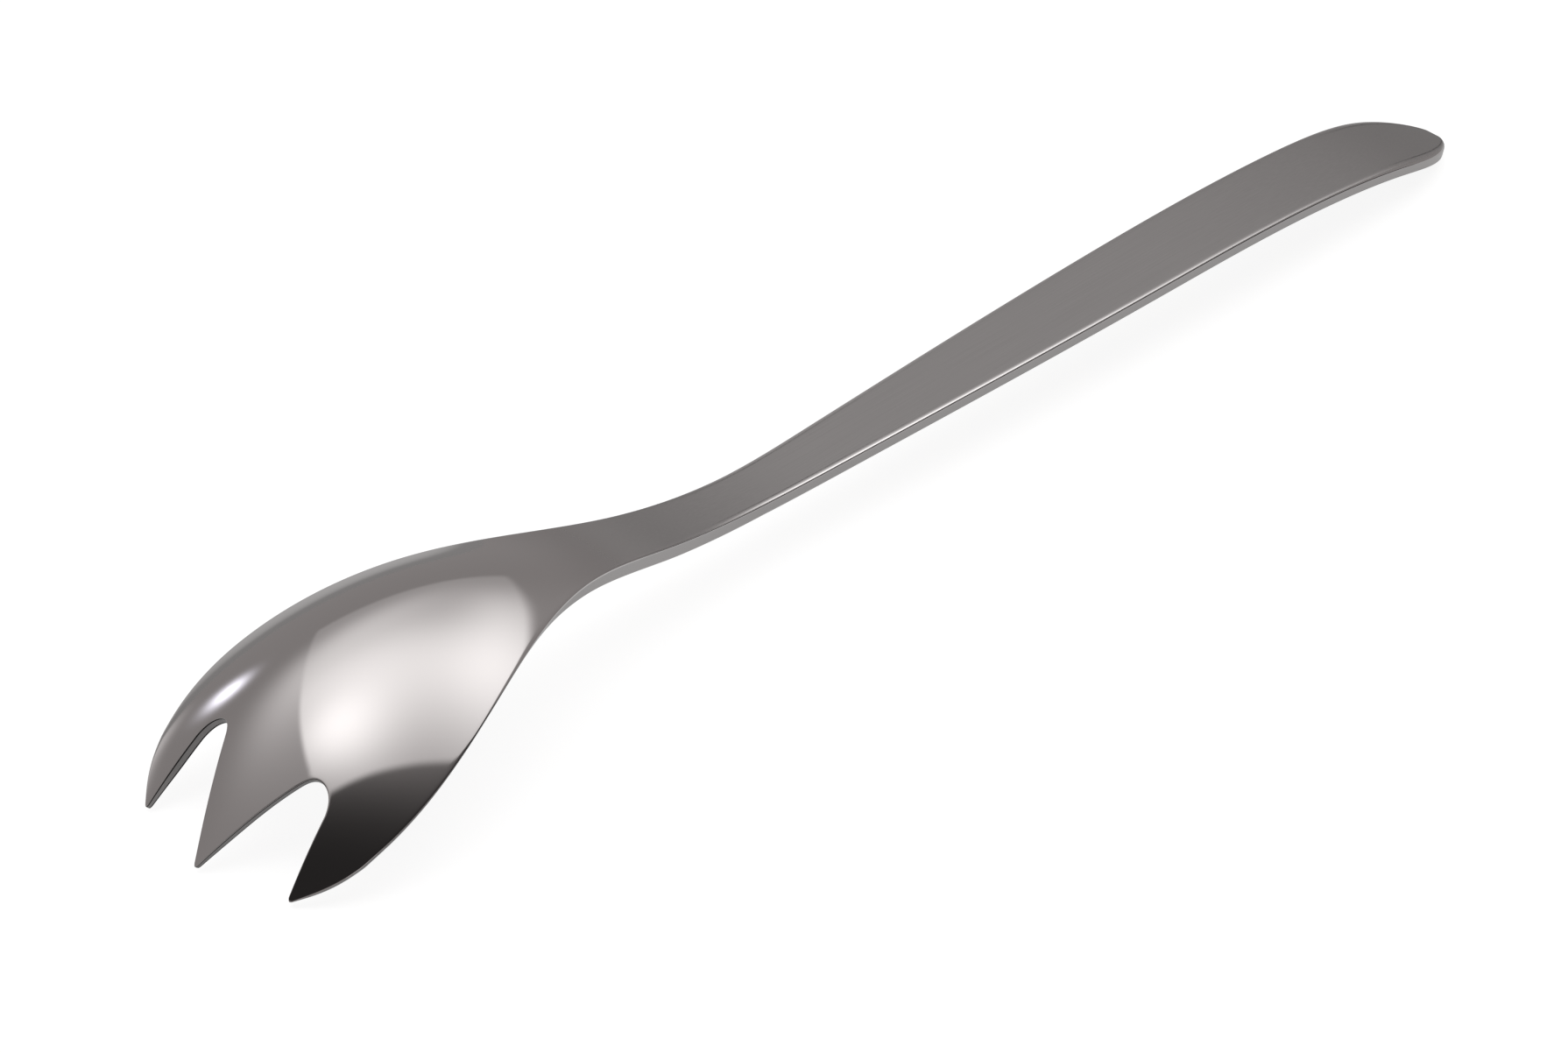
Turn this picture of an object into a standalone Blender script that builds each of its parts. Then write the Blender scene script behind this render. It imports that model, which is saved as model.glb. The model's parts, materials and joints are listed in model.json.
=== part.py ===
# Serving fork with three short tines, pressed from one piece of stainless steel.
# It lies on its face: the back of the bowl is up, and the tine tips and the handle
# end touch the table. X runs from the tips to the handle end, Z is up.
# The single forging is cut into its named sections, which meet face to face.

from math import asin, atan2, cos, pi, radians, sin, sqrt

import bmesh
import bpy
import numpy as np
from mathutils import Vector

# Distances along the fork, each from the station before it (metres)
TIP_TO_TINE = 0.006
TINE_TO_ROOT = 0.008
ROOT_TO_BELLY = 0.014
BELLY_TO_CREST = 0.018
CREST_TO_SHOULDER = 0.016
SHOULDER_TO_THROAT = 0.016
THROAT_TO_NECK = 0.017
NECK_TO_STEM = 0.015
STEM_TO_GRIP = 0.055
GRIP_TO_BEND = 0.040
BEND_TO_CURL = 0.014
CURL_TO_END = 0.011

# Full widths at the stations
TINE_WIDTH = 0.0315
ROOT_WIDTH = 0.0388
BELLY_WIDTH = 0.0375
CREST_WIDTH = 0.0251
SHOULDER_WIDTH = 0.0139
THROAT_WIDTH = 0.0097
NECK_WIDTH = 0.0085
STEM_WIDTH = 0.0093
GRIP_WIDTH = 0.0128
BEND_WIDTH = 0.0137
CURL_WIDTH = 0.0139
END_WIDTH = 0.0126

# Heights of the back's middle line above the table
TIP_HEIGHT = 0.0010
TINE_HEIGHT = 0.0073
ROOT_HEIGHT = 0.0140
BELLY_HEIGHT = 0.0202
CREST_HEIGHT = 0.0209
SHOULDER_HEIGHT = 0.0167
THROAT_HEIGHT = 0.0121
NECK_HEIGHT = 0.0096
HANDLE_HEIGHT = 0.0093
BEND_HEIGHT = 0.0078
CURL_HEIGHT = 0.0054
END_HEIGHT = 0.0017

# How far the long edges fall below the middle line, and how the fall grows across
TIP_DISH = 0.0040
TINE_DISH = 0.0051
ROOT_DISH = 0.0073
BELLY_DISH = 0.0071
CREST_DISH = 0.0034
SHOULDER_DISH = 0.00045
DISH_POWER = 1.75

# Steel thickness, square to the surface, and where it swells from bowl to neck
BOWL_THICKNESS = 0.0012
NECK_THICKNESS = 0.0021
END_THICKNESS = 0.0018
SWELL_LEAD = 0.025
SWELL_LENGTH = 0.022

# Slots and tine tips
SLOT_DEPTH = 0.0135
SLOT_ROOT_RADIUS = 0.0024
SLOT_OFFSET = 0.0093
OUTER_TIP_SETBACK = 0.0036
OUTER_TIP_SPAN = 0.0272
TIP_WIDTH = 0.0006

# Rounded handle end and eased edges
END_ROUND = 0.012
END_POWER = 2.15
END_FLAT_ANGLE = radians(78)
EDGE_ROUND = 0.0003
EDGE_STEPS = 2

# Mesh steps
TINE_STEPS = 5
MIDDLE_COLUMNS = 8
OUTER_COLUMNS = 3
SLOT_COLUMNS = 6
BOWL_STEPS = 5
NECK_STEPS = 4
HANDLE_STEPS = 4
END_STEPS = 8
MERGE_DISTANCE = 1e-6
SHARP_ANGLE = radians(40)
FLAT_ANGLE = radians(0.05)
SLOPE_STEP = 1e-5

# Finishes: sRGB-linear steel colour, polished bowl and satin handle
STEEL_COLOUR = (0.55, 0.54, 0.52, 1.0)
POLISHED_ROUGHNESS = 0.16
SATIN_ROUGHNESS = 0.30

TINE_X = TIP_TO_TINE
ROOT_X = TINE_X + TINE_TO_ROOT
BELLY_X = ROOT_X + ROOT_TO_BELLY
CREST_X = BELLY_X + BELLY_TO_CREST
SHOULDER_X = CREST_X + CREST_TO_SHOULDER
THROAT_X = SHOULDER_X + SHOULDER_TO_THROAT
NECK_X = THROAT_X + THROAT_TO_NECK
STEM_X = NECK_X + NECK_TO_STEM
GRIP_X = STEM_X + STEM_TO_GRIP
BEND_X = GRIP_X + GRIP_TO_BEND
CURL_X = BEND_X + BEND_TO_CURL
END_X = CURL_X + CURL_TO_END
SLOT_X = SLOT_DEPTH - SLOT_ROOT_RADIUS


def smooth_curve(points, end_slope=None):
    """Cubic spline through (x, value) points, free at its ends or with a set far slope."""
    x, y = np.array(points).T
    h = np.diff(x)
    slope = np.diff(y) / h
    size = len(x)
    matrix = np.zeros((size, size))
    right = np.zeros(size)
    matrix[0, 0] = 1.0
    matrix[-1, -1] = 1.0
    for i in range(1, size - 1):
        matrix[i, i - 1:i + 2] = h[i - 1], 2 * (h[i - 1] + h[i]), h[i]
        right[i] = 6 * (slope[i] - slope[i - 1])
    if end_slope is not None:
        matrix[-1, -2:] = h[-1], 2 * h[-1]
        right[-1] = 6 * (end_slope - slope[-1])
    bend = np.linalg.solve(matrix, right)

    def value(at):
        i = int(np.clip(np.searchsorted(x, at) - 1, 0, size - 2))
        a = (x[i + 1] - at) / h[i]
        b = (at - x[i]) / h[i]
        curve = ((a ** 3 - a) * bend[i] + (b ** 3 - b) * bend[i + 1]) * h[i] ** 2 / 6
        return a * y[i] + b * y[i + 1] + curve

    return value


middle_height = smooth_curve([
    (0.0, TIP_HEIGHT),
    (TINE_X, TINE_HEIGHT),
    (ROOT_X, ROOT_HEIGHT),
    (BELLY_X, BELLY_HEIGHT),
    (CREST_X, CREST_HEIGHT),
    (SHOULDER_X, SHOULDER_HEIGHT),
    (THROAT_X, THROAT_HEIGHT),
    (NECK_X, NECK_HEIGHT),
    (STEM_X, HANDLE_HEIGHT),
    (GRIP_X, HANDLE_HEIGHT),
    (BEND_X, BEND_HEIGHT),
    (CURL_X, CURL_HEIGHT),
    (END_X, END_HEIGHT),
])
side_line = smooth_curve([
    (OUTER_TIP_SETBACK, OUTER_TIP_SPAN / 2),
    (TINE_X, TINE_WIDTH / 2),
    (ROOT_X, ROOT_WIDTH / 2),
    (BELLY_X, BELLY_WIDTH / 2),
    (CREST_X, CREST_WIDTH / 2),
    (SHOULDER_X, SHOULDER_WIDTH / 2),
    (THROAT_X, THROAT_WIDTH / 2),
    (NECK_X, NECK_WIDTH / 2),
    (STEM_X, STEM_WIDTH / 2),
    (GRIP_X, GRIP_WIDTH / 2),
    (BEND_X, BEND_WIDTH / 2),
    (CURL_X, CURL_WIDTH / 2),
    (END_X, END_WIDTH / 2),
])
dish_depth = smooth_curve([
    (OUTER_TIP_SETBACK, TIP_DISH),
    (TINE_X, TINE_DISH),
    (ROOT_X, ROOT_DISH),
    (BELLY_X, BELLY_DISH),
    (CREST_X, CREST_DISH),
    (SHOULDER_X, SHOULDER_DISH),
    (THROAT_X, 0.0),
], end_slope=0.0)


def half_width(x):
    """Half the fork's width at x, drawn in to the rounded end."""
    share = max(0.0, (x - END_X + END_ROUND) / END_ROUND) * sin(END_FLAT_ANGLE)
    return side_line(x) * (1 - share ** END_POWER) ** (1 / END_POWER)


def back_height(x, y):
    """Height of the fork's back above the table."""
    if x >= THROAT_X:
        return middle_height(x)
    at = max(x, OUTER_TIP_SETBACK)
    fall = dish_depth(at) * (abs(y) / side_line(at)) ** DISH_POWER
    return middle_height(x) - fall


def thickness(x):
    """Steel thickness: thin in the bowl, swelling to the neck, easing to the end."""
    if x > NECK_X:
        return NECK_THICKNESS + (END_THICKNESS - NECK_THICKNESS) * (x - NECK_X) / (END_X - NECK_X)
    t = min(max((x - SHOULDER_X + SWELL_LEAD) / SWELL_LENGTH, 0.0), 1.0)
    return BOWL_THICKNESS + (NECK_THICKNESS - BOWL_THICKNESS) * t * t * (3 - 2 * t)


def back_point(x, y):
    return Vector((x, y, back_height(x, y)))


def face_point(x, y):
    """The point of the eating side straight under the back's point, square to the surface."""
    along = (back_height(x + SLOPE_STEP, y) - back_height(x - SLOPE_STEP, y)) / (2 * SLOPE_STEP)
    across = (back_height(x, y + SLOPE_STEP) - back_height(x, y - SLOPE_STEP)) / (2 * SLOPE_STEP)
    normal = Vector((-along, -across, 1.0)).normalized()
    return back_point(x, y) - normal * thickness(x)


def touch_angle(x, y, side):
    """Direction of the line from a tine tip that just touches the slot's round root."""
    away_x = SLOT_X - x
    away_y = SLOT_OFFSET - y
    reach = sqrt(away_x ** 2 + away_y ** 2)
    return atan2(away_y, away_x) + side * asin(SLOT_ROOT_RADIUS / reach)


INNER_TIP_Y = TIP_WIDTH / 2
OUTER_TIP_Y = OUTER_TIP_SPAN / 2 - TIP_WIDTH
INNER_ANGLE = touch_angle(0.0, INNER_TIP_Y, -1)
OUTER_ANGLE = touch_angle(OUTER_TIP_SETBACK, OUTER_TIP_Y, 1)


def inner_flank(x):
    """Half width of the middle tine at x."""
    return INNER_TIP_Y + sin(INNER_ANGLE) / cos(INNER_ANGLE) * x


def outer_flank(x):
    """Distance from the middle line to an outer tine's inner edge at x."""
    return OUTER_TIP_Y + sin(OUTER_ANGLE) / cos(OUTER_ANGLE) * (x - OUTER_TIP_SETBACK)


def slot_root():
    """Points round the slot's root, from the middle tine to the outer tine."""
    points = [(SLOT_X, inner_flank(SLOT_X))]
    start = INNER_ANGLE - pi / 2
    stop = OUTER_ANGLE + pi / 2
    for i in range(SLOT_COLUMNS - 1):
        turn = start + (stop - start) * i / (SLOT_COLUMNS - 2)
        points.append((SLOT_X + SLOT_ROOT_RADIUS * cos(turn), SLOT_OFFSET + SLOT_ROOT_RADIUS * sin(turn)))
    points.append((SLOT_X, outer_flank(SLOT_X)))
    return points


def root_row():
    """The bowl's ragged front row, from the right edge to the left one."""
    half = [(SLOT_X, inner_flank(SLOT_X) * i / (MIDDLE_COLUMNS / 2)) for i in range(MIDDLE_COLUMNS // 2)]
    half += slot_root()
    edge = outer_flank(SLOT_X)
    for i in range(1, OUTER_COLUMNS + 1):
        half.append((SLOT_X, edge + (half_width(SLOT_X) - edge) * i / OUTER_COLUMNS))
    return [(x, -y) for x, y in reversed(half[1:])] + half


def steps(start, stop, count):
    return [start + (stop - start) * i / count for i in range(1, count + 1)]


def body_rows():
    """Stations of the straight rows behind the bowl's mouth. The flat handle has none inside."""
    rows = steps(BELLY_X, CREST_X, BOWL_STEPS)
    rows += steps(CREST_X, SHOULDER_X, BOWL_STEPS)
    rows += steps(SHOULDER_X, THROAT_X, NECK_STEPS)
    rows += steps(THROAT_X, NECK_X, NECK_STEPS)
    rows += steps(NECK_X, STEM_X, NECK_STEPS)
    rows += [GRIP_X]
    rows += steps(GRIP_X, BEND_X, HANDLE_STEPS)
    round_start = END_X - END_ROUND
    rows += steps(BEND_X, round_start, HANDLE_STEPS)
    for i in range(1, END_STEPS + 1):
        rows.append(round_start + END_ROUND * sin(END_FLAT_ANGLE * i / END_STEPS) / sin(END_FLAT_ANGLE))
    return rows


def add_net(bm, rows, columns, plan):
    """A grid of rows and columns whose corners plan(row, column) places on the flat blank."""
    net = bmesh.ops.create_grid(bm, x_segments=rows, y_segments=columns, size=0.5)
    for vert in net["verts"]:
        x, y = plan(round((vert.co.x + 0.5) * rows), round((vert.co.y + 0.5) * columns))
        vert.co = (x, y, 0.0)


def blank():
    """The flat blank with its three tines, as a net of faces."""
    bm = bmesh.new()
    front = root_row()
    shares = [y / half_width(x) for x, y in front]
    rows = body_rows()

    def body_plan(row, column):
        if row > BOWL_STEPS:
            x = rows[row - BOWL_STEPS - 1]
        else:
            x = front[column][0] + (BELLY_X - front[column][0]) * row / BOWL_STEPS
        return x, shares[column] * half_width(x)

    def middle_plan(row, column):
        x = SLOT_X * row / TINE_STEPS
        return x, inner_flank(x) * (2 * column / MIDDLE_COLUMNS - 1)

    def outer_plan(row, column, side):
        x = OUTER_TIP_SETBACK + (SLOT_X - OUTER_TIP_SETBACK) * row / TINE_STEPS
        edge = outer_flank(x)
        return x, side * (edge + (half_width(x) - edge) * column / OUTER_COLUMNS)

    add_net(bm, BOWL_STEPS + len(rows), len(front) - 1, body_plan)
    add_net(bm, TINE_STEPS, MIDDLE_COLUMNS, middle_plan)
    for side in (-1, 1):
        add_net(bm, TINE_STEPS, OUTER_COLUMNS, lambda row, column: outer_plan(row, column, side))
    bmesh.ops.remove_doubles(bm, verts=bm.verts, dist=MERGE_DISTANCE)
    return bm


def forging():
    """The whole fork as one closed body: the blank pressed to shape, with eased edges."""
    bm = blank()
    pressed = bmesh.ops.extrude_face_region(bm, geom=bm.faces[:], use_keep_orig=True)["geom"]
    under = {item for item in pressed if isinstance(item, bmesh.types.BMVert)}
    for vert in bm.verts:
        x, y = vert.co.xy
        vert.co = face_point(x, y) if vert in under else back_point(x, y)
    bmesh.ops.recalc_face_normals(bm, faces=bm.faces)
    rim = []
    for edge in bm.edges:
        along_rim = (edge.verts[0] in under) == (edge.verts[1] in under)
        if along_rim and edge.calc_face_angle() > SHARP_ANGLE:
            rim.append(edge)
    bmesh.ops.bevel(bm, geom=rim, offset=EDGE_ROUND, segments=EDGE_STEPS, profile=0.5, affect='EDGES')
    return bm


def cut_away(bm, x, keep_after):
    """Cut the body square at x, close the cut and keep one side of it."""
    everything = bm.verts[:] + bm.edges[:] + bm.faces[:]
    bmesh.ops.bisect_plane(bm, geom=everything, plane_co=(x, 0.0, 0.0), plane_no=(1.0, 0.0, 0.0),
                           clear_inner=keep_after, clear_outer=not keep_after)
    bmesh.ops.holes_fill(bm, edges=[edge for edge in bm.edges if edge.is_boundary])


def keep_tine(bm, low, high):
    """Keep the tine whose points lie between two distances from the middle line."""
    others = [vert for vert in bm.verts if not low < vert.co.y < high]
    bmesh.ops.delete(bm, geom=others, context='VERTS')


def steel(name, roughness):
    material = bpy.data.materials.new(name)
    material.use_nodes = True
    shader = material.node_tree.nodes["Principled BSDF"]
    shader.inputs["Base Color"].default_value = STEEL_COLOUR
    shader.inputs["Metallic"].default_value = 1.0
    shader.inputs["Roughness"].default_value = roughness
    return material


def add_section(name, body, parts, fork, roughness, start=None, stop=None, tine=None):
    """One named section of the forging, between two cuts."""
    bm = body.copy()
    if start is not None:
        cut_away(bm, start, True)
    if stop is not None:
        cut_away(bm, stop, False)
    if tine is not None:
        keep_tine(bm, *tine)
    bmesh.ops.dissolve_limit(bm, angle_limit=FLAT_ANGLE, verts=bm.verts, edges=bm.edges)
    mesh = bpy.data.meshes.new(name)
    bm.to_mesh(mesh)
    bm.free()
    mesh.shade_smooth()
    mesh.set_sharp_from_angle(angle=SHARP_ANGLE)
    mesh.materials.append(steel(name + "_steel", roughness))
    section = bpy.data.objects.new(name, mesh)
    parts.objects.link(section)
    section.parent = fork


def main():
    for old in list(bpy.data.objects):
        bpy.data.objects.remove(old, do_unlink=True)
    parts = bpy.data.collections.new("serving_fork")
    bpy.context.scene.collection.children.link(parts)

    body = forging()
    low = [min(vert.co[axis] for vert in body.verts) for axis in range(3)]
    high = [max(vert.co[axis] for vert in body.verts) for axis in range(3)]
    fork = bpy.data.objects.new("fork_origin", None)
    fork.location = (-(low[0] + high[0]) / 2, -(low[1] + high[1]) / 2, -low[2])
    parts.objects.link(fork)

    gap = (inner_flank(SLOT_X) + outer_flank(SLOT_X)) / 2
    side = ROOT_WIDTH + BELLY_WIDTH
    add_section("tine_right", body, parts, fork, POLISHED_ROUGHNESS, stop=SLOT_X, tine=(-side, -gap))
    add_section("tine_middle", body, parts, fork, POLISHED_ROUGHNESS, stop=SLOT_X, tine=(-gap, gap))
    add_section("tine_left", body, parts, fork, POLISHED_ROUGHNESS, stop=SLOT_X, tine=(gap, side))
    add_section("bowl", body, parts, fork, POLISHED_ROUGHNESS, start=SLOT_X, stop=SHOULDER_X)
    add_section("neck", body, parts, fork, SATIN_ROUGHNESS, start=SHOULDER_X, stop=STEM_X)
    add_section("handle", body, parts, fork, SATIN_ROUGHNESS, start=STEM_X, stop=BEND_X)
    add_section("handle_end", body, parts, fork, SATIN_ROUGHNESS, start=BEND_X)
    body.free()


main()
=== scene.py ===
import json
from math import asin, atan2, cos, pi, radians, sin, sqrt, tan

import bmesh
import bpy
import numpy as np
from mathutils import Matrix, Vector


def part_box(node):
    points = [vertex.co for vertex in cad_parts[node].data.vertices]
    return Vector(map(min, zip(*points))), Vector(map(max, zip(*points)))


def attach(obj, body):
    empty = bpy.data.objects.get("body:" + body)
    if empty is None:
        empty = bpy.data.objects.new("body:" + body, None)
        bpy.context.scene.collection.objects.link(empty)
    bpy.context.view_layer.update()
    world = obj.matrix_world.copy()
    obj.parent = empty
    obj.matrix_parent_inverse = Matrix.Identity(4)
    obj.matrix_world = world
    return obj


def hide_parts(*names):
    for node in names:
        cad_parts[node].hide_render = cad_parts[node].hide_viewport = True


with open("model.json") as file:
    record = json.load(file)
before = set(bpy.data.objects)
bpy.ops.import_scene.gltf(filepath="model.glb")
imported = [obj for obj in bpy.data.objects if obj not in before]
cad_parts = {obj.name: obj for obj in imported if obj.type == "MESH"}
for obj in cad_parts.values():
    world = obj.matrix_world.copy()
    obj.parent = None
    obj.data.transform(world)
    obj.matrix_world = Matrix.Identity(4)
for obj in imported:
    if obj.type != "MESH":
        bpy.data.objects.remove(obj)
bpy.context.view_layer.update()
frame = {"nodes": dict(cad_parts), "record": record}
print("frame: loaded", len(frame["nodes"]), "sections of the fork")

mm = 0.001  # the shapes below are in millimetres, the scene in metres

# Fork: one pressed sheet, measured from the middle tip to the handle end
stations = {
    "tip": 0.0,
    "tine": 6.0,
    "root": 14.0,
    "belly": 28.0,
    "crest": 46.0,
    "shoulder": 62.0,
    "throat": 78.0,
    "neck": 95.0,
    "stem": 110.0,
    "grip": 165.0,
    "bend": 205.0,
    "curl": 219.0,
    "end": 230.0,
}
widths = {
    "tine": 31.5,
    "root": 38.8,
    "belly": 37.5,
    "crest": 25.1,
    "shoulder": 13.9,
    "throat": 9.7,
    "neck": 8.5,
    "stem": 9.3,
    "grip": 12.8,
    "bend": 13.7,
    "curl": 13.9,
    "end": 12.6,
}
heights = {
    "tip": 1.0,
    "tine": 7.3,
    "root": 14.0,
    "belly": 20.2,
    "crest": 20.9,
    "shoulder": 16.7,
    "throat": 12.1,
    "neck": 9.6,
    "stem": 9.3,
    "grip": 9.3,
    "bend": 7.8,
    "curl": 5.4,
    "end": 1.7,
}
dish = {  # how far the long edges fall below the middle line
    "tine": 5.1,
    "root": 7.3,
    "belly": 7.1,
    "crest": 3.4,
    "shoulder": 0.45,
    "throat": 0.0,
}
dishPower = 1.75
dishCrown = 0.2  # share of the half width over which the crown is rounded
# the handle's back falls a little at its long edges
handleEase = {"fall": 0.1, "power": 12, "start": stations["throat"], "full": stations["neck"]}
steel = {
    "tipThickness": 0.7,  # the tines thin towards their tips
    "tipLength": 4.0,
    "bowlThickness": 1.2,
    "neckThickness": 2.1,
    "endThickness": 1.8,
    "swellStart": 37.0,
    "swellStop": 59.0,
    "bowlRim": 0.3,  # rounding of the rims
    "handleRim": 0.5,
    "handleInset": 1.1,  # how far the handle's rounding reaches over its back
    "endInset": 1.8,
}
tines = {
    "slotDepth": 13.5,
    "slotRadius": 2.4,
    "slotOffset": 9.3,
    "outerSetback": 3.6,
    "outerSpan": 27.2,
    "outerDish": 4.0,
    "tipWidth": 0.6,
    "rim": 0.16,
    "tipBow": 0.35,
    "tipRound": radians(70),
    "bowFade": 4,  # the power by which the bow fades behind the tip
    "rimShare": 0.3,  # the most of a tine's width that a rim takes
}
roundedEnd = {"length": 12.0, "power": 2.15, "lastAngle": radians(84)}
net = {  # rows and columns of the sheet before smoothing
    "middleColumns": 4,
    "slotColumns": 6,
    "outerColumns": (0.33, 0.62),
    "tineRows": 5,
    "rootRows": 6,
    "bowlRows": 6,
    "neckRows": 5,
    "handleRows": 5,
    "endRows": 7,
    "supportRims": 2.5,  # how far the second row lies behind the slots' roots, in rims
    "joinedWithin": 0.001,
    "smoothing": 2,
}
slotX = tines["slotDepth"] - tines["slotRadius"]
tipHalf = tines["tipWidth"] / 2
outerTip = tines["outerSpan"] / 2 - tines["tipWidth"]
slopeStep = 0.01  # how far to each side the pressed sheet's slope is measured


def smoothCurve(points, endSlope=None):  # a cubic curve through the points, straight at its free ends
    x, y = np.array(points).T
    span = np.diff(x)
    slope = np.diff(y) / span
    size = len(x)
    matrix = np.zeros((size, size))
    right = np.zeros(size)
    matrix[0, 0] = 1.0
    matrix[-1, -1] = 1.0
    for i in range(1, size - 1):
        matrix[i, i - 1:i + 2] = span[i - 1], 2 * (span[i - 1] + span[i]), span[i]
        right[i] = 6 * (slope[i] - slope[i - 1])
    if endSlope is not None:
        matrix[-1, -2:] = span[-1], 2 * span[-1]
        right[-1] = 6 * (endSlope - slope[-1])
    bend = np.linalg.solve(matrix, right)

    def value(at):
        i = np.clip(np.searchsorted(x, at) - 1, 0, size - 2)
        before = (x[i + 1] - at) / span[i]
        after = (at - x[i]) / span[i]
        curve = (before ** 3 - before) * bend[i] + (after ** 3 - after) * bend[i + 1]
        return before * y[i] + after * y[i + 1] + curve * span[i] ** 2 / 6

    return value


outerStart = tines["outerSetback"]
sideStart = (outerStart, tines["outerSpan"] / 2)
dishStart = (outerStart, tines["outerDish"])
middleHeight = smoothCurve([(stations[name], height) for name, height in heights.items()])
sideLine = smoothCurve([sideStart] + [(stations[name], width / 2) for name, width in widths.items()])
dishDepth = smoothCurve([dishStart] + [(stations[name], fall) for name, fall in dish.items()], endSlope=0.0)


def halfWidth(x):
    length = roundedEnd["length"]
    share = max(0.0, (x - stations["end"] + length) / length) * sin(roundedEnd["lastAngle"])
    return sideLine(x) * (1 - share ** roundedEnd["power"]) ** (1 / roundedEnd["power"])


def fallShare(share):  # 0 at the middle line, 1 at the long edge
    low = dishCrown ** dishPower
    high = (1 + dishCrown ** 2) ** (dishPower / 2)
    return ((share ** 2 + dishCrown ** 2) ** (dishPower / 2) - low) / (high - low)


def backHeight(x, y):
    at = np.clip(x, outerStart, stations["throat"])
    ease = np.interp(x, [handleEase["start"], handleEase["full"]], [0.0, handleEase["fall"]])
    ease = ease * np.abs(y / sideLine(x)) ** handleEase["power"]
    return middleHeight(x) - dishDepth(at) * fallShare(y / sideLine(at)) - ease


def thickness(x, y):
    share = np.clip((x - steel["swellStart"]) / (steel["swellStop"] - steel["swellStart"]), 0.0, 1.0)
    swell = (steel["neckThickness"] - steel["bowlThickness"]) * share ** 2 * (3 - 2 * share)
    taper = np.clip((x - stations["neck"]) / (stations["end"] - stations["neck"]), 0.0, 1.0)
    fromTip = x - (outerStart if abs(y) > tines["slotOffset"] else stations["tip"])
    thin = np.interp(fromTip, [0.0, steel["tipLength"]], [steel["tipThickness"], steel["bowlThickness"]])
    return thin + swell + (steel["endThickness"] - steel["neckThickness"]) * taper


def rimSize(x):
    places = [tines["slotDepth"], stations["belly"], steel["swellStart"], steel["swellStop"]]
    return np.interp(x, places, [tines["rim"], steel["bowlRim"], steel["bowlRim"], steel["handleRim"]])


def rimInset(x):  # the handle's rims reach further over the back than down the wall
    places = [steel["swellStart"], stations["neck"], stations["bend"], stations["curl"]]
    insets = [steel["bowlRim"], steel["handleInset"], steel["handleInset"], steel["endInset"]]
    return np.interp(x, places, insets) * halfWidth(x) / sideLine(x)


def press(x, y, depth):  # a point of the flat sheet, at its place in the pressed fork
    along = (backHeight(x + slopeStep, y) - backHeight(x - slopeStep, y)) / (2 * slopeStep)
    across = (backHeight(x, y + slopeStep) - backHeight(x, y - slopeStep)) / (2 * slopeStep)
    reach = depth / np.sqrt(along ** 2 + across ** 2 + 1)
    return np.stack([x + along * reach, y + across * reach, backHeight(x, y) - reach], axis=1)


def touchAngle(x, y, side):  # the way from a tine's tip to where its flank touches the slot's round root
    awayX = slotX - x
    awayY = tines["slotOffset"] - y
    return atan2(awayY, awayX) + side * asin(tines["slotRadius"] / sqrt(awayX ** 2 + awayY ** 2))


innerAngle = touchAngle(0.0, tipHalf, -1)
outerAngle = touchAngle(outerStart, outerTip, 1)


def innerFlank(x):
    return tipHalf + tan(innerAngle) * x


def outerFlank(x):
    return outerTip + tan(outerAngle) * (x - outerStart)


def middleHalf(x):  # columns of half the middle tine, from its middle line to its edge
    edge = innerFlank(x)
    inset = edge - min(rimSize(x) / cos(innerAngle), tines["rimShare"] * edge)
    count = net["middleColumns"]
    return [inset * i / count for i in range(count + 1)] + [edge]


def outerAcross(x):  # columns of an outer tine, from the slot to the long edge
    slotEdge = outerFlank(x)
    longEdge = halfWidth(x)
    inset = min(rimSize(x), tines["rimShare"] * (longEdge - slotEdge))
    low = slotEdge + inset / cos(outerAngle)
    high = longEdge - inset
    between = [low + (high - low) * share for share in net["outerColumns"]]
    return [slotEdge, low] + between + [high, longEdge]


def slotArc(radius):
    start = innerAngle - pi / 2
    stop = outerAngle + pi / 2
    count = net["slotColumns"] - 1
    turns = [start + (stop - start) * i / count for i in range(count + 1)]
    return [(slotX + radius * cos(turn), tines["slotOffset"] + radius * sin(turn)) for turn in turns]


def frontHalf():  # half of the bowl's ragged front row
    inner = [(slotX, y) for y in middleHalf(slotX)]
    outer = [(slotX, y) for y in outerAcross(slotX)]
    return inner + slotArc(tines["slotRadius"]) + outer


def supportHalf():  # the row behind it, which keeps the slot's rim crisp
    inset = rimSize(slotX)
    behind = slotX + inset * net["supportRims"]
    arc = slotArc(tines["slotRadius"] + inset)
    inner = [(behind, y) for y in middleHalf(slotX)[:-1]]
    outer = [(behind, y) for y in outerAcross(slotX)[1:]]
    innerCorner = ((slotX + arc[0][0]) / 2, (inner[-1][1] + arc[0][1]) / 2)
    outerCorner = ((slotX + arc[-1][0]) / 2, (outer[0][1] + arc[-1][1]) / 2)
    return inner + [innerCorner] + arc + [outerCorner] + outer


def bothSides(half):
    return [(x, -y) for x, y in reversed(half[1:])] + half


def steps(start, stop, count):
    return [start + (stop - start) * i / count for i in range(1, count + 1)]


def straightRows():
    runs = [
        ("belly", "crest", "bowlRows"),
        ("crest", "shoulder", "bowlRows"),
        ("shoulder", "throat", "bowlRows"),
        ("throat", "neck", "neckRows"),
        ("neck", "stem", "neckRows"),
        ("stem", "grip", "handleRows"),
        ("grip", "bend", "handleRows"),
    ]
    rows = []
    for start, stop, count in runs:
        rows += steps(stations[start], stations[stop], net[count])
    roundStart = stations["end"] - roundedEnd["length"]
    rows += steps(stations["bend"], roundStart, net["handleRows"])
    lastAngle = roundedEnd["lastAngle"]
    for angle in steps(0.0, lastAngle, net["endRows"]):
        rows.append(roundStart + roundedEnd["length"] * sin(angle) / sin(lastAngle))
    return rows


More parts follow.
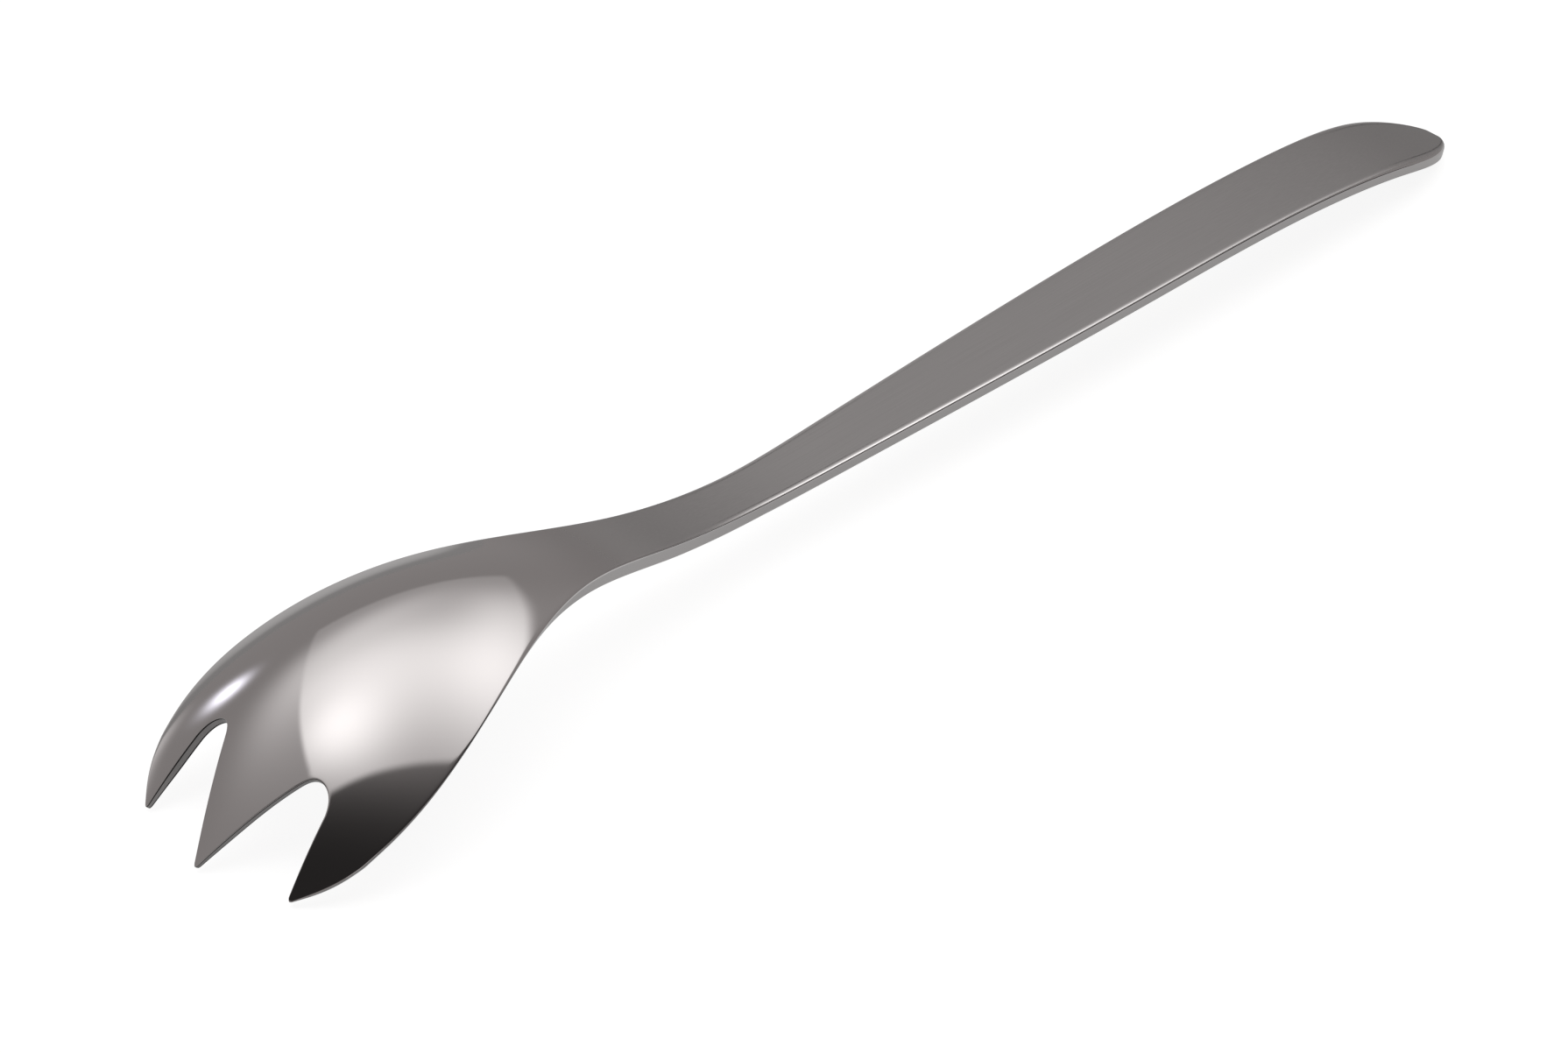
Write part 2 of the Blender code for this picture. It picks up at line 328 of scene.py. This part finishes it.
def addNet(bm, rows, columns, plan):
    grid = bmesh.ops.create_grid(bm, x_segments=rows, y_segments=columns, size=0.5)
    for vert in grid["verts"]:
        x, y = plan(round((vert.co.x + 0.5) * rows), round((vert.co.y + 0.5) * columns))
        vert.co = (x, y, 0.0)


def tineRows(tip):  # the tip, a row that keeps it crisp, then even rows to the slot's root
    first = tip + tines["rim"]
    return [tip, first] + steps(first, slotX, net["tineRows"])


def tipBow(tip, x, share):  # the tip's row is bowed, and the rows behind it less and less
    fade = ((slotX - x) / (slotX - tip)) ** tines["bowFade"]
    return tines["tipBow"] * fade * (1 - cos(share * tines["tipRound"]))


def flatBlank():
    bm = bmesh.new()
    front = bothSides(frontHalf())
    support = bothSides(supportHalf())
    rows = straightRows()
    rootRows = net["rootRows"]
    last = len(front) - 1

    def bodyPlan(row, column):
        if row == 0:
            return front[column]
        startX, startY = support[column]
        if row > rootRows:
            x = rows[row - rootRows - 1]
        else:
            x = startX + (stations["belly"] - startX) * (row - 1) / (rootRows - 1)
        side = -1 if column < last / 2 else 1
        if column in (0, last):
            return x, side * halfWidth(x)
        if column in (1, last - 1):
            return x, side * (halfWidth(x) - rimInset(x))
        return x, startY / halfWidth(startX) * halfWidth(x)

    middleRows = tineRows(0.0)
    middleLast = 2 * net["middleColumns"] + 2

    def middlePlan(row, column):
        x = middleRows[row]
        place = column - middleLast // 2
        y = middleHalf(x)[abs(place)]
        bow = tipBow(0.0, x, y / innerFlank(x))
        return x + bow, y if place > 0 else -y

    outerRows = tineRows(outerStart)
    outerLast = len(outerAcross(slotX)) - 1

    def outerPlan(row, column, side):
        x = outerRows[row]
        across = outerAcross(x)
        share = 2 * (across[column] - across[0]) / (across[-1] - across[0]) - 1
        return x + tipBow(outerStart, x, share), side * across[column]

    addNet(bm, rootRows + len(rows), last, bodyPlan)
    addNet(bm, len(middleRows) - 1, middleLast, middlePlan)
    for side in (-1, 1):
        addNet(bm, len(outerRows) - 1, outerLast, lambda row, column: outerPlan(row, column, side))
    bmesh.ops.remove_doubles(bm, verts=bm.verts, dist=net["joinedWithin"])
    return bm


# Where the sheet lies in the frame: the handle starts at the stem, and its back carries the mount
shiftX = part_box("handle")[0].x / mm - stations["stem"]
shiftZ = frame["record"]["mounts"][0]["pos_m"][2] / mm - heights["stem"]

# How far a point belongs to the steel's walls: the handle's rims a little, so that they take the painted
# glint and the walls' light steel
wallShare = {"rim": 0.22, "wall": 1.0}
underside = 3  # the back is layer 0, and the wall lies between layers 1 and 2


def thickSheet():
    bm = flatBlank()
    wallLayer = bm.verts.layers.float.new("wall")
    under = bmesh.ops.extrude_face_region(bm, geom=bm.faces[:], use_keep_orig=True)["geom"]
    for item in under:
        if isinstance(item, bmesh.types.BMVert):
            item.co.z = -underside
    walls = [edge for edge in bm.edges if edge.verts[0].co.z != edge.verts[1].co.z]
    # the handle's rims take a little of the wall's share, which puts the painted glint on them
    for corner in [vert for edge in walls for vert in edge.verts]:
        places = [stations["throat"], stations["neck"]]
        corner[wallLayer] = np.interp(corner.co.x, places, [0.0, wallShare["rim"]])
    bmesh.ops.subdivide_edges(bm, edges=walls, cuts=underside - 1)
    for vert in bm.verts:
        layer = round(-vert.co.z)
        full = thickness(vert.co.x, vert.co.y)
        rim = rimSize(vert.co.x)
        vert.co.z = -[0.0, rim, full - rim, full][layer]
        if 0 < layer < underside:
            vert[wallLayer] = wallShare["wall"]
    bmesh.ops.recalc_face_normals(bm, faces=bm.faces)
    mesh = bpy.data.meshes.new("thickSheet")
    bm.to_mesh(mesh)
    bm.free()
    mesh.shade_smooth()
    return mesh


def pressedSkin():
    sheet = bpy.data.objects.new("thickSheet", thickSheet())
    bpy.context.scene.collection.objects.link(sheet)
    rounding = sheet.modifiers.new("rounding", 'SUBSURF')
    rounding.levels = net["smoothing"]
    rounding.render_levels = net["smoothing"]
    graph = bpy.context.evaluated_depsgraph_get()
    skin = bpy.data.meshes.new_from_object(sheet.evaluated_get(graph), depsgraph=graph)
    bpy.data.objects.remove(sheet, do_unlink=True)
    flat = np.array([vert.co for vert in skin.vertices], dtype=float)
    pressed = press(flat[:, 0], flat[:, 1], -flat[:, 2])
    pressed = (pressed + np.array((shiftX, 0.0, shiftZ))) * mm
    skin.vertices.foreach_set("co", pressed.ravel())
    station = skin.attributes.new("station", 'FLOAT', 'POINT')
    station.data.foreach_set("value", flat[:, 0])
    skin.update()
    return skin


skin = pressedSkin()
print("fork: pressed sheet smoothed to", len(skin.polygons), "faces")

# Sections of the skin, one for each section of the solid fork, in row order
sections = {
    "tine_left": {"start": None, "stop": slotX, "side": 1, "slot": "polished_steel"},
    "tine_middle": {"start": None, "stop": slotX, "side": 0, "slot": "polished_steel"},
    "tine_right": {"start": None, "stop": slotX, "side": -1, "slot": "polished_steel"},
    "bowl": {"start": slotX, "stop": stations["shoulder"], "side": None, "slot": "polished_steel"},
    "neck": {"start": stations["shoulder"], "stop": stations["stem"], "side": None, "slot": "satin_steel"},
    "handle": {"start": stations["stem"], "stop": stations["bend"], "side": None, "slot": "satin_steel"},
    "handle_end": {"start": stations["bend"], "stop": None, "side": None, "slot": "satin_steel"},
}
slotMiddle = (innerFlank(slotX) + outerFlank(slotX)) / 2 * mm


def inSection(face, stationLayer, section):
    station = sum(vert[stationLayer] for vert in face.verts) / len(face.verts)
    if section["start"] is not None and station < section["start"]:
        return False
    if section["stop"] is not None and station > section["stop"]:
        return False
    if section["side"] is None:
        return True
    y = face.calc_center_median().y
    side = 0 if abs(y) < slotMiddle else np.sign(y)
    return section["side"] == side


def cutSection(node, section, finish):
    bm = bmesh.new()
    bm.from_mesh(skin)
    bm.normal_update()
    stationLayer = bm.verts.layers.float["station"]
    normalLayer = bm.verts.layers.float_vector.new("skinNormal")
    for vert in bm.verts:
        vert[normalLayer] = vert.normal
    others = [face for face in bm.faces if not inSection(face, stationLayer, section)]
    bmesh.ops.delete(bm, geom=others, context='FACES')
    cuts = [edge for edge in bm.edges if edge.is_boundary]
    caps = bmesh.ops.holes_fill(bm, edges=cuts)["faces"]
    bmesh.ops.triangulate(bm, faces=caps)
    bm.faces.index_update()
    capFaces = set()
    for face in bm.faces:
        if len(face.verts) == 3:
            capFaces.add(face.index)
            face.smooth = False
    mesh = bpy.data.meshes.new(node + "_skin")
    bm.to_mesh(mesh)
    bm.free()
    # the skin's own normals run on across the cuts, so that no seam shows
    skinNormals = [item.vector.copy() for item in mesh.attributes["skinNormal"].data]
    normals = []
    for face in mesh.polygons:
        for corner in face.vertices:
            normals.append(face.normal if face.index in capFaces else skinNormals[corner])
    mesh.normals_split_custom_set(normals)
    mesh.attributes.remove(mesh.attributes["skinNormal"])
    mesh.attributes.remove(mesh.attributes["station"])
    mesh.materials.append(finish)
    piece = bpy.data.objects.new(node + "_skin", mesh)
    bpy.context.scene.collection.objects.link(piece)
    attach(piece, "root")
    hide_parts(node)


# Steel: polished on the bowl, satin on the handle, and light steel on the long walls. The walls around the
# tines and the bowl's front carry painted shade, a darker grey under a painted near-black line at their
# upper edge, and the handle's rims carry a painted glint that fades along the fork. Places lie along the
# fork and ranges are shares of the wall, and over each of them one finish passes into the next.
steelFinish = {
    "bowl": {"colour": (0.578, 0.556, 0.551, 1.0), "roughness": 0.05},
    "handle": {"colour": (0.331, 0.32, 0.317, 1.0), "roughness": 0.5, "places": (-0.06, -0.035)},
    # painted shade: a near-black line along the upper edge of the walls around the tines and the bowl's
    # front
    "slotShadeLine": {"colour": (0.03, 0.029, 0.029, 1.0)},
    # painted shade: the walls around the tines and the bowl's front are a darker grey than the steel
    "shadedSlotWall": {"colour": (0.34, 0.329, 0.327, 1.0), "roughness": 0.2, "range": (0.8, 1.0)},
    # painted glint: the handle's rounded rims near white, fading between fadePlaces along the fork
    "handleRim": {"colour": (0.92, 0.9, 0.895, 1.0), "fadePlaces": (0.0, 0.085)},
    "longWall": {
        "colour": (0.585, 0.567, 0.563, 1.0),
        "roughness": 0.1,
        "range": (0.3, 0.6),
        "places": (-0.085, -0.065),
    },
    "wallRange": (0.04, 0.25),
}
grain = {  # fine lengthwise lines on the handle
    "scale": (60.0, 9000.0, 9000.0),
    "detail": 2.0,
    "contrast": (0.3, 0.7),
    "shade": 0.94,
    "height": 3e-7,
}
wave = {"scale": 160.0, "detail": 1.0, "height": 2e-6}  # the slight unevenness of all the steel
mixSockets = {"colours": (6, 7), "result": 2}  # the Mix node keeps its colours behind its other kinds


def addNode(tree, kind, **values):
    node = tree.nodes.new(kind)
    for name, value in values.items():
        setattr(node, name, value)
    return node


def feed(tree, socket, value):  # a socket takes a plain value or another node's output
    if isinstance(value, bpy.types.NodeSocket):
        tree.links.new(value, socket)
    else:
        socket.default_value = value


def noiseOn(tree, vector, scale, detail):
    noise = addNode(tree, "ShaderNodeTexNoise")
    noise.inputs["Scale"].default_value = scale
    noise.inputs["Detail"].default_value = detail
    tree.links.new(vector, noise.inputs["Vector"])
    return noise.outputs["Fac"]


def mapRange(tree, value, source, result=(0.0, 1.0)):
    node = addNode(tree, "ShaderNodeMapRange", interpolation_type='SMOOTHSTEP')
    names = ("From Min", "From Max", "To Min", "To Max")
    for name, limit in zip(names, source + result):
        node.inputs[name].default_value = limit
    tree.links.new(value, node.inputs["Value"])
    return node.outputs["Result"]


def mixColour(tree, share, first, second):
    node = addNode(tree, "ShaderNodeMix", data_type='RGBA')
    tree.links.new(share, node.inputs["Factor"])
    for socket, colour in zip(mixSockets["colours"], (first, second)):
        feed(tree, node.inputs[socket], colour)
    return node.outputs[mixSockets["result"]]


def mathNode(tree, operation, first, second=0.0):
    node = addNode(tree, "ShaderNodeMath", operation=operation)
    feed(tree, node.inputs[0], first)
    feed(tree, node.inputs[1], second)
    return node.outputs[0]


def scaled(tree, colour, level):
    node = addNode(tree, "ShaderNodeVectorMath", operation='SCALE')
    node.inputs[0].default_value = colour
    tree.links.new(level, node.inputs["Scale"])
    return node.outputs[0]


def bump(tree, height, distance, normal=None):
    node = addNode(tree, "ShaderNodeBump")
    node.inputs["Strength"].default_value = 1.0
    node.inputs["Distance"].default_value = distance
    tree.links.new(height, node.inputs["Height"])
    if normal is not None:
        tree.links.new(normal, node.inputs["Normal"])
    return node.outputs["Normal"]


def forkSteel():
    material = bpy.data.materials.new("forkSteel")
    material.use_nodes = True
    tree = material.node_tree
    shader = tree.nodes["Principled BSDF"]
    shader.inputs["Metallic"].default_value = 1.0
    bowl, handle = steelFinish["bowl"], steelFinish["handle"]
    slotShadeLine, shadedSlotWall = steelFinish["slotShadeLine"], steelFinish["shadedSlotWall"]
    handleRim, longWall = steelFinish["handleRim"], steelFinish["longWall"]

    place = addNode(tree, "ShaderNodeTexCoord").outputs["Object"]
    split = addNode(tree, "ShaderNodeSeparateXYZ")
    tree.links.new(place, split.inputs[0])
    along = split.outputs["X"]
    satin = mapRange(tree, along, handle["places"])
    # walls before these places take the painted shade of the slots, walls past them the light steel of the
    # long walls
    light = mapRange(tree, along, longWall["places"])
    # the painted glint on the handle's rims fades along the fork
    glintFaded = mapRange(tree, along, handleRim["fadePlaces"])
    depth = addNode(tree, "ShaderNodeAttribute", attribute_name="wall").outputs["Fac"]
    wall = mapRange(tree, depth, steelFinish["wallRange"])
    # 0 on the painted dark line along the walls' upper edge, 1 on the painted shade of the walls below it
    pastShadeLine = mapRange(tree, depth, shadedSlotWall["range"])
    # 0 where the handle's rims carry the painted glint, 1 on the plain steel of the long walls
    pastGlint = mathNode(tree, 'MAXIMUM', mapRange(tree, depth, longWall["range"]), glintFaded)
    stretch = addNode(tree, "ShaderNodeMapping")
    stretch.inputs["Scale"].default_value = grain["scale"]
    tree.links.new(place, stretch.inputs["Vector"])
    fibres = noiseOn(tree, stretch.outputs["Vector"], 1.0, grain["detail"])
    waves = noiseOn(tree, place, wave["scale"], wave["detail"])

    shade = mapRange(tree, fibres, grain["contrast"], (grain["shade"], 1.0))
    brushed = scaled(tree, handle["colour"][:3], shade)
    colour = mixColour(tree, satin, bowl["colour"], brushed)
    # the walls around the tines and the bowl's front: painted shade, with a painted dark line at their
    # upper edge
    slotShadeColour = mixColour(tree, pastShadeLine, slotShadeLine["colour"], shadedSlotWall["colour"])
    # the painted glint on the handle's rims, passing into the long walls' light steel
    glintAndLongWallColour = mixColour(tree, pastGlint, handleRim["colour"], longWall["colour"])
    wallColour = mixColour(tree, light, slotShadeColour, glintAndLongWallColour)
    tree.links.new(mixColour(tree, wall, colour, wallColour), shader.inputs["Base Color"])

    rough = mapRange(tree, satin, (0.0, 1.0), (bowl["roughness"], handle["roughness"]))
    wallRough = mapRange(tree, light, (0.0, 1.0), (shadedSlotWall["roughness"], longWall["roughness"]))
    kept = mathNode(tree, 'MULTIPLY', rough, mathNode(tree, 'SUBTRACT', 1.0, wall))
    rough = mathNode(tree, 'ADD', kept, mathNode(tree, 'MULTIPLY', wallRough, wall))
    tree.links.new(rough, shader.inputs["Roughness"])

    waved = bump(tree, waves, wave["height"])
    onHandle = mathNode(tree, 'MULTIPLY', fibres, satin)
    tree.links.new(bump(tree, onHandle, grain["height"], waved), shader.inputs["Normal"])
    return material


finish = forkSteel()
for node, section in sections.items():
    cutSection(node, section, finish)
bpy.data.meshes.remove(skin)
print("fork: skin cut into", len(sections), "sections")

# Camera: the view of the photograph, about a metre away
view = {
    "distance": 1000.0,
    "elevation": radians(36.182),
    "yaw": radians(44.714),
    "roll": -0.0037,
    "photoWidth": 1790,  # in pixels
    "pixelsPerMm": 8.9078,
    "target": (92.436, -9.764, 10.0),  # in the fork's own stations
    "sensor": 36.0,
    "clipStart": 0.01,
}
yaw = view["yaw"]
rightWay = Vector((cos(yaw), -sin(yaw), 0.0))
farWay = Vector((sin(yaw), cos(yaw), 0.0))
upWay = Vector((0.0, 0.0, 1.0))


def aim(obj, position, look, up):
    forward = look.normalized()
    side = forward.cross(up).normalized()
    turn = Matrix((side, side.cross(forward), -forward)).transposed().to_4x4()
    obj.matrix_world = Matrix.Translation(position) @ turn


def addCamera():
    forward = cos(view["elevation"]) * farWay - sin(view["elevation"]) * upWay
    up = sin(view["elevation"]) * farWay + cos(view["elevation"]) * upWay
    up = up * cos(view["roll"]) - rightWay * sin(view["roll"])
    target = (Vector(view["target"]) + Vector((shiftX, 0.0, shiftZ))) * mm
    lens = bpy.data.cameras.new("photoCamera")
    lens.sensor_fit = 'HORIZONTAL'
    lens.sensor_width = view["sensor"]
    lens.lens = view["pixelsPerMm"] * view["distance"] * view["sensor"] / view["photoWidth"]
    lens.clip_start = view["clipStart"]
    camera = bpy.data.objects.new("photoCamera", lens)
    bpy.context.scene.collection.objects.link(camera)
    aim(camera, target - forward * view["distance"] * mm, forward, up)
    bpy.context.scene.camera = camera


addCamera()
print("camera: set")

# Stage: a white table in a cloth tent with an open front. Three lamps shine through the cloth above, the
# wall at the far left and the foot of the left wall glow, the open front is dim, and a small lamp stands
# at the left.
# Places on the cloth are given by how far they lie to the right and away for each unit of height.
table = {
    "size": 12.0,
    "colour": (0.3, 0.3, 0.3, 1.0),
    "lift": 0.88,  # its own light, as the camera sees it
    # painted light: the table's glow, as the steel mirrors it, is brightest along the fork and fades
    # further beside it, a painted pool of light
    "beside": (0.08, 0.25),  # the steel mirrors less of the table the further it lies beside the fork
    "mirrored": (0.37, 0.13),
}
tent = {
    "left": {"at": -0.655, "tilt": -0.25, "soft": 0.035},
    "right": {"at": 0.785, "tilt": -0.115, "soft": 0.03},
    "far": {"at": 2.34, "tilt": -0.16, "soft": 0.2},
    "near": {"at": -0.34, "tilt": 0.27, "soft": 0.025},
    "sill": {"at": -1.15, "tilt": 0.0, "soft": 0.1},  # where the open front ends
    "cloth": 0.14,
    "wall": 0.315,
    "front": 0.026,
    "lowest": 0.1,  # what lies lower is taken as this high
    "clothTint": (1.0, 1.0, 1.0),
    "roomTint": (1.04, 0.987, 0.98),
}
tentLamps = [
    {"place": (-0.305, -0.121), "spread": (0.377, 0.261), "strength": 0.867},
    {"place": (0.2, 0.233), "spread": (1.114, 0.394), "strength": 0.69},
    {"place": (0.611, 0.666), "spread": (0.3, 0.684), "strength": 0.622},
]
wallGlow = {"place": (-0.607, 0.782), "spread": (0.806, 0.8), "strength": 0.584}
frontGlow = {"place": (-0.17, 0.047), "spread": (0.789, 0.369), "strength": 0.5}
skirt = {"facing": (0.6, 0.74), "strength": 0.45, "height": 0.035}  # light low on the tent's left
sideLamp = {
    "azimuth": radians(-42),
    "elevation": radians(11),
    "size": radians(3.4),
    "strength": 2.4,
    "tint": (0.96, 0.97, 1.1),
}


def addTable():
    bm = bmesh.new()
    bmesh.ops.create_grid(bm, x_segments=1, y_segments=1, size=table["size"] / 2)
    mesh = bpy.data.meshes.new("table")
    bm.to_mesh(mesh)
    bm.free()
    top = bpy.data.objects.new("table", mesh)
    bpy.context.scene.collection.objects.link(top)
    material = bpy.data.materials.new("whiteTable")
    material.use_nodes = True
    tree = material.node_tree
    tree.nodes.remove(tree.nodes["Principled BSDF"])
    paint = addNode(tree, "ShaderNodeBsdfDiffuse")
    paint.inputs["Color"].default_value = table["colour"]
    white = addNode(tree, "ShaderNodeEmission")
    rays = addNode(tree, "ShaderNodeLightPath")
    place = addNode(tree, "ShaderNodeSeparateXYZ")
    tree.links.new(addNode(tree, "ShaderNodeTexCoord").outputs["Object"], place.inputs[0])
    beside = mathNode(tree, 'ABSOLUTE', place.outputs["Y"])
    # painted pool of light: the table glows more for the steel near the fork than beside it
    share = mapRange(tree, beside, table["beside"], table["mirrored"])
    mirrored = mathNode(tree, 'MULTIPLY', rays.outputs["Is Glossy Ray"], share)
    seen = mathNode(tree, 'MAXIMUM', rays.outputs["Is Camera Ray"], rays.outputs["Is Transmission Ray"])
    seen = mathNode(tree, 'MAXIMUM', seen, mirrored)
    tree.links.new(mathNode(tree, 'MULTIPLY', seen, table["lift"]), white.inputs["Strength"])
    both = addNode(tree, "ShaderNodeAddShader")
    tree.links.new(paint.outputs[0], both.inputs[0])
    tree.links.new(white.outputs[0], both.inputs[1])
    tree.links.new(both.outputs[0], tree.nodes["Material Output"].inputs["Surface"])
    mesh.materials.append(material)


def dotWith(tree, direction, way):
    node = addNode(tree, "ShaderNodeVectorMath", operation='DOT_PRODUCT')
    tree.links.new(direction, node.inputs[0])
    node.inputs[1].default_value = way
    return node.outputs["Value"]


def beyond(tree, edge, value, other):  # 0 before an edge of the cloth, 1 beyond it
    tilted = mathNode(tree, 'MULTIPLY', other, edge["tilt"])
    past = mathNode(tree, 'SUBTRACT', mathNode(tree, 'SUBTRACT', value, tilted), edge["at"])
    return mapRange(tree, past, (-edge["soft"], edge["soft"]))


def bell(tree, square, strength):  # full strength at 0, less and less as the square grows
    fall = mathNode(tree, 'EXPONENT', mathNode(tree, 'MULTIPLY', square, -1.0))
    return mathNode(tree, 'MULTIPLY', fall, strength)


def glow(tree, lamp, across, along):
    squares = []
    for value, place, spread in zip((across, along), lamp["place"], lamp["spread"]):
        offset = mathNode(tree, 'DIVIDE', mathNode(tree, 'SUBTRACT', value, place), spread)
        squares.append(mathNode(tree, 'MULTIPLY', offset, offset))
    return bell(tree, mathNode(tree, 'ADD', *squares), lamp["strength"])


def spot(tree, direction):
    level = cos(sideLamp["azimuth"]) * farWay + sin(sideLamp["azimuth"]) * rightWay
    way = cos(sideLamp["elevation"]) * level + sin(sideLamp["elevation"]) * upWay
    offset = mathNode(tree, 'SUBTRACT', 1.0, dotWith(tree, direction, way))
    square = mathNode(tree, 'MULTIPLY', offset, 2 / sideLamp["size"] ** 2)
    return bell(tree, square, sideLamp["strength"])


def lowLight(tree, direction):
    facing = mapRange(tree, dotWith(tree, direction, -rightWay), skirt["facing"])
    rise = mathNode(tree, 'DIVIDE', dotWith(tree, direction, upWay), skirt["height"])
    level = bell(tree, mathNode(tree, 'MULTIPLY', rise, rise), skirt["strength"])
    return mathNode(tree, 'MULTIPLY', level, facing)


def addTent():
    world = bpy.data.worlds.new("tent")
    bpy.context.scene.world = world
    world.use_nodes = True
    tree = world.node_tree
    direction = addNode(tree, "ShaderNodeTexCoord").outputs["Generated"]
    rise = mathNode(tree, 'MAXIMUM', dotWith(tree, direction, upWay), tent["lowest"])
    across = mathNode(tree, 'DIVIDE', dotWith(tree, direction, rightWay), rise)
    along = mathNode(tree, 'DIVIDE', dotWith(tree, direction, farWay), rise)
    cloth = tent["cloth"]
    for lamp in tentLamps:
        cloth = mathNode(tree, 'ADD', cloth, glow(tree, lamp, across, along))
    cloth = mathNode(tree, 'MULTIPLY', cloth, beyond(tree, tent["left"], across, along))
    for edge, value, other in (("right", across, along), ("far", along, across)):
        inside = mathNode(tree, 'SUBTRACT', 1.0, beyond(tree, tent[edge], value, other))
        cloth = mathNode(tree, 'MULTIPLY', cloth, inside)
    cloth = mathNode(tree, 'ADD', cloth, glow(tree, wallGlow, across, along))
    cloth = mathNode(tree, 'ADD', cloth, lowLight(tree, direction))
    front = mathNode(tree, 'ADD', glow(tree, frontGlow, across, along), tent["front"])
    belowFront = mathNode(tree, 'SUBTRACT', 1.0, beyond(tree, tent["sill"], along, across))
    isInner = mathNode(tree, 'MAXIMUM', beyond(tree, tent["near"], along, across), belowFront)
    isFront = mathNode(tree, 'SUBTRACT', 1.0, isInner)
    room = mathNode(tree, 'MULTIPLY', isInner, tent["wall"])
    room = mathNode(tree, 'ADD', room, mathNode(tree, 'MULTIPLY', front, isFront))
    light = scaled(tree, tent["clothTint"], mathNode(tree, 'MULTIPLY', cloth, isInner))
    for level, tint in ((room, tent["roomTint"]), (spot(tree, direction), sideLamp["tint"])):
        both = addNode(tree, "ShaderNodeVectorMath", operation='ADD')
        tree.links.new(light, both.inputs[0])
        tree.links.new(scaled(tree, tint, level), both.inputs[1])
        light = both.outputs[0]
    tree.links.new(light, tree.nodes["Background"].inputs["Color"])


addTable()
addTent()
bpy.context.scene.view_settings.view_transform = 'Standard'
print("stage: table, lights and room set")
